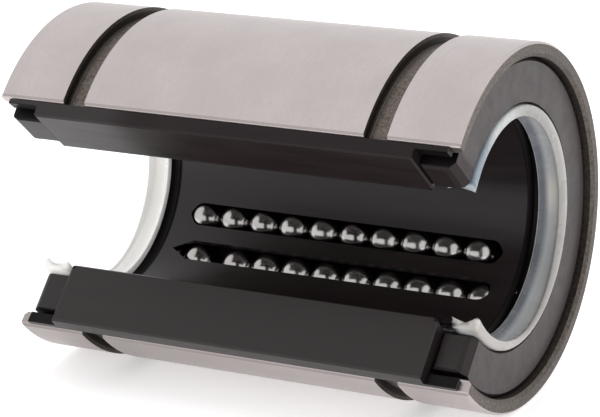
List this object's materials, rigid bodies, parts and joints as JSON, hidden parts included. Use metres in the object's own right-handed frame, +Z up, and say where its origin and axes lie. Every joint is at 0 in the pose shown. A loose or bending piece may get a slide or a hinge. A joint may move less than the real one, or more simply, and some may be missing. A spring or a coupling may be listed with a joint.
{
  "type": "linear ball bushing",
  "caption": "Open linear ball bushing: slotted steel sleeve, moulded retainer with recirculating ball circuits, end caps and wiper seals, for a shaft held from below.",
  "frame": {"origin": "centre of the shaft bore, halfway along the sleeve", "axes": "+X along the bore, +Z up, the lengthwise opening faces -Y"},
  "size_m": [0.045, 0.0286, 0.032],
  "materials": {
    "ground_steel": "fine-ground hardened steel, oxidised in the grooves and on the ends",
    "retainer_polymer": "moulded acetal, satin",
    "end_cap_polymer": "moulded acetal, satin",
    "seal": "translucent glossy elastomer",
    "ball_steel": "polished bearing steel"
  },
  "bodies": {
    "bushing": {"outer_sleeve": "ground_steel", "retainer": "retainer_polymer", "end_cap_near": "end_cap_polymer", "end_cap_far": "end_cap_polymer", "wiper_seal_near": "seal", "wiper_seal_far": "seal"},
    "upper_front_load_row": {"upper_front_load_balls": "ball_steel"},
    "upper_front_return_row": {"upper_front_return_balls": "ball_steel"},
    "upper_front_near_turn": {"upper_front_near_turn_balls": "ball_steel"},
    "upper_front_far_turn": {"upper_front_far_turn_balls": "ball_steel"},
    "upper_rear_load_row": {"upper_rear_load_balls": "ball_steel"},
    "upper_rear_return_row": {"upper_rear_return_balls": "ball_steel"},
    "upper_rear_near_turn": {"upper_rear_near_turn_balls": "ball_steel"},
    "upper_rear_far_turn": {"upper_rear_far_turn_balls": "ball_steel"},
    "lower_front_load_row": {"lower_front_load_balls": "ball_steel"},
    "lower_front_return_row": {"lower_front_return_balls": "ball_steel"},
    "lower_front_near_turn": {"lower_front_near_turn_balls": "ball_steel"},
    "lower_front_far_turn": {"lower_front_far_turn_balls": "ball_steel"},
    "lower_rear_load_row": {"lower_rear_load_balls": "ball_steel"},
    "lower_rear_return_row": {"lower_rear_return_balls": "ball_steel"},
    "lower_rear_near_turn": {"lower_rear_near_turn_balls": "ball_steel"},
    "lower_rear_far_turn": {"lower_rear_far_turn_balls": "ball_steel"}
  },
  "joints": [
    {"name": "upper_front_load_slide", "type": "slide", "parent": "bushing", "child": "upper_front_load_row", "axis": [1, 0, 0], "range_m": [-0.0008, 0.0008]},
    {"name": "upper_front_return_slide", "type": "slide", "parent": "bushing", "child": "upper_front_return_row", "axis": [1, 0, 0], "range_m": [-0.0008, 0.0008]},
    {"name": "upper_front_near_turn_pivot", "type": "hinge", "parent": "bushing", "child": "upper_front_near_turn", "pos_m": [0.0168, -0.00142, 0.01176], "axis": [-0.342, -0.0618, 0.9377], "range_deg": [-19.43, 19.43]},
    {"name": "upper_front_far_turn_pivot", "type": "hinge", "parent": "bushing", "child": "upper_front_far_turn", "pos_m": [-0.0168, -0.00142, 0.01176], "axis": [-0.342, 0.0618, -0.9377], "range_deg": [-19.43, 19.43]},
    {"name": "upper_rear_load_slide", "type": "slide", "parent": "bushing", "child": "upper_rear_load_row", "axis": [1, 0, 0], "range_m": [-0.0004, 0.0012]},
    {"name": "upper_rear_return_slide", "type": "slide", "parent": "bushing", "child": "upper_rear_return_row", "axis": [1, 0, 0], "range_m": [-0.0012, 0.0004]},
    {"name": "upper_rear_near_turn_pivot", "type": "hinge", "parent": "bushing", "child": "upper_rear_near_turn", "pos_m": [0.0168, 0.0084, 0.00838], "axis": [0.342, -0.6267, -0.7002], "range_deg": [-10.16, 30.48]},
    {"name": "upper_rear_far_turn_pivot", "type": "hinge", "parent": "bushing", "child": "upper_rear_far_turn", "pos_m": [-0.0168, 0.0084, 0.00838], "axis": [0.342, 0.6267, 0.7002], "range_deg": [-30.48, 10.16]},
    {"name": "lower_front_load_slide", "type": "slide", "parent": "bushing", "child": "lower_front_load_row", "axis": [1, 0, 0], "range_m": [-0.0012, 0.0004]},
    {"name": "lower_front_return_slide", "type": "slide", "parent": "bushing", "child": "lower_front_return_row", "axis": [1, 0, 0], "range_m": [-0.0004, 0.0012]},
    {"name": "lower_front_near_turn_pivot", "type": "hinge", "parent": "bushing", "child": "lower_front_near_turn", "pos_m": [0.0168, -0.00142, -0.01176], "axis": [0.342, 0.0618, 0.9377], "range_deg": [-29.15, 9.72]},
    {"name": "lower_front_far_turn_pivot", "type": "hinge", "parent": "bushing", "child": "lower_front_far_turn", "pos_m": [-0.0168, -0.00142, -0.01176], "axis": [0.342, -0.0618, -0.9377], "range_deg": [-9.72, 29.15]},
    {"name": "lower_rear_load_slide", "type": "slide", "parent": "bushing", "child": "lower_rear_load_row", "axis": [1, 0, 0], "range_m": [0, 0.0016]},
    {"name": "lower_rear_return_slide", "type": "slide", "parent": "bushing", "child": "lower_rear_return_row", "axis": [1, 0, 0], "range_m": [-0.0016, 0]},
    {"name": "lower_rear_near_turn_pivot", "type": "hinge", "parent": "bushing", "child": "lower_rear_near_turn", "pos_m": [0.0168, 0.0084, -0.00838], "axis": [-0.342, 0.6267, -0.7002], "range_deg": [0, 40.64]},
    {"name": "lower_rear_far_turn_pivot", "type": "hinge", "parent": "bushing", "child": "lower_rear_far_turn", "pos_m": [-0.0168, 0.0084, -0.00838], "axis": [-0.342, -0.6267, 0.7002], "range_deg": [-40.64, 0]}
  ],
  "couplings": [
    {"joint": "upper_front_return_slide", "follows": "upper_front_load_slide", "ratio": -1},
    {"joint": "upper_front_near_turn_pivot", "follows": "upper_front_load_slide", "rad_per_m": 423.93},
    {"joint": "upper_front_far_turn_pivot", "follows": "upper_front_load_slide", "rad_per_m": -423.93},
    {"joint": "upper_rear_return_slide", "follows": "upper_rear_load_slide", "ratio": -1},
    {"joint": "upper_rear_near_turn_pivot", "follows": "upper_rear_load_slide", "rad_per_m": 443.34},
    {"joint": "upper_rear_far_turn_pivot", "follows": "upper_rear_load_slide", "rad_per_m": -443.34},
    {"joint": "lower_front_return_slide", "follows": "lower_front_load_slide", "ratio": -1},
    {"joint": "lower_front_near_turn_pivot", "follows": "lower_front_load_slide", "rad_per_m": 423.93},
    {"joint": "lower_front_far_turn_pivot", "follows": "lower_front_load_slide", "rad_per_m": -423.93},
    {"joint": "lower_rear_return_slide", "follows": "lower_rear_load_slide", "ratio": -1},
    {"joint": "lower_rear_near_turn_pivot", "follows": "lower_rear_load_slide", "rad_per_m": 443.34},
    {"joint": "lower_rear_far_turn_pivot", "follows": "lower_rear_load_slide", "rad_per_m": -443.34}
  ]
}
